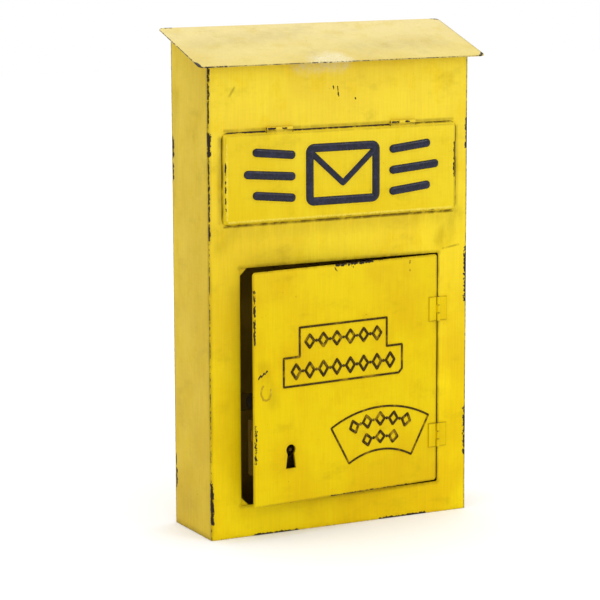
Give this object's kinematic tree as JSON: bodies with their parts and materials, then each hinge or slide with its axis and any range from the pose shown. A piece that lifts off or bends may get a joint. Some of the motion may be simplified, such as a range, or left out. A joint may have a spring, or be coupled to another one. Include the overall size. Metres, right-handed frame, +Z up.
{
  "type": "mailbox",
  "caption": "Wall mailbox of folded yellow sheet steel with a fixed sloping lid, a hinged posting flap and a side-hinged collection door with keyhole, lock bolt and magnetic catch.",
  "frame": {"origin": "middle of the underside of the body, where the box stands", "axes": "+X to the right seen from the front, +Y from the front towards the wall, +Z up"},
  "size_m": [0.24, 0.0828, 0.38],
  "materials": {
    "yellow_paint": "satin distressed paint over a dark primer, worn at the edges",
    "lid_paint": "satin distressed paint, lighter where it is rubbed",
    "emblem_paint": "satin blue-black paint",
    "pin_steel": "bright drawn steel",
    "dark_steel": "dark primer",
    "magnet": "matt ferrite",
    "lock_steel": "dull zinc plate",
    "rivet_steel": "zinc plate",
    "spring_steel": "blued spring steel",
    "bolt_brass": "tumbled brass"
  },
  "bodies": {
    "box": {"front_panel": "yellow_paint", "left_side": "yellow_paint", "right_side": "yellow_paint", "back_panel": "yellow_paint", "bottom_panel": "yellow_paint", "lid": "lid_paint", "upper_corner_stop": "yellow_paint", "lower_corner_stop": "yellow_paint", "flap_hinge_left_body_leaf": "yellow_paint", "flap_hinge_left_pin": "pin_steel", "flap_hinge_right_body_leaf": "yellow_paint", "flap_hinge_right_pin": "pin_steel", "door_hinge_upper_body_leaf": "yellow_paint", "door_hinge_upper_pin": "pin_steel", "door_hinge_lower_body_leaf": "yellow_paint", "door_hinge_lower_pin": "pin_steel", "catch_bracket": "dark_steel", "catch_magnet": "magnet"},
    "flap": {"flap_plate": "yellow_paint", "flap_emblem": "emblem_paint", "flap_hinge_left_flap_leaf": "yellow_paint", "flap_hinge_right_flap_leaf": "yellow_paint"},
    "door": {"door_panel": "yellow_paint", "door_hinge_upper_door_leaf": "yellow_paint", "door_hinge_lower_door_leaf": "yellow_paint", "catch_strike": "dark_steel", "lock_cap": "lock_steel", "lock_case": "lock_steel", "lock_rivets": "rivet_steel", "key_post": "rivet_steel", "lock_ward": "lock_steel", "bolt_guide_pin": "rivet_steel", "bolt_spring": "spring_steel"},
    "bolt": {"lock_bolt": "bolt_brass"}
  },
  "joints": [
    {"name": "flap_hinge", "type": "hinge", "parent": "box", "child": "flap", "pos_m": [0, -0.0342, 0.30773], "axis": [-1, 0, 0], "range_deg": [0, 110]},
    {"name": "door_hinge", "type": "hinge", "parent": "box", "child": "door", "pos_m": [0.084, -0.0343, 0.115], "axis": [0, 0, 1], "range_deg": [-6, 164]},
    {"name": "bolt_slide", "type": "slide", "parent": "door", "child": "bolt", "axis": [-0.9945, -0.1045, 0], "range_m": [0, 0.008]}
  ]
}
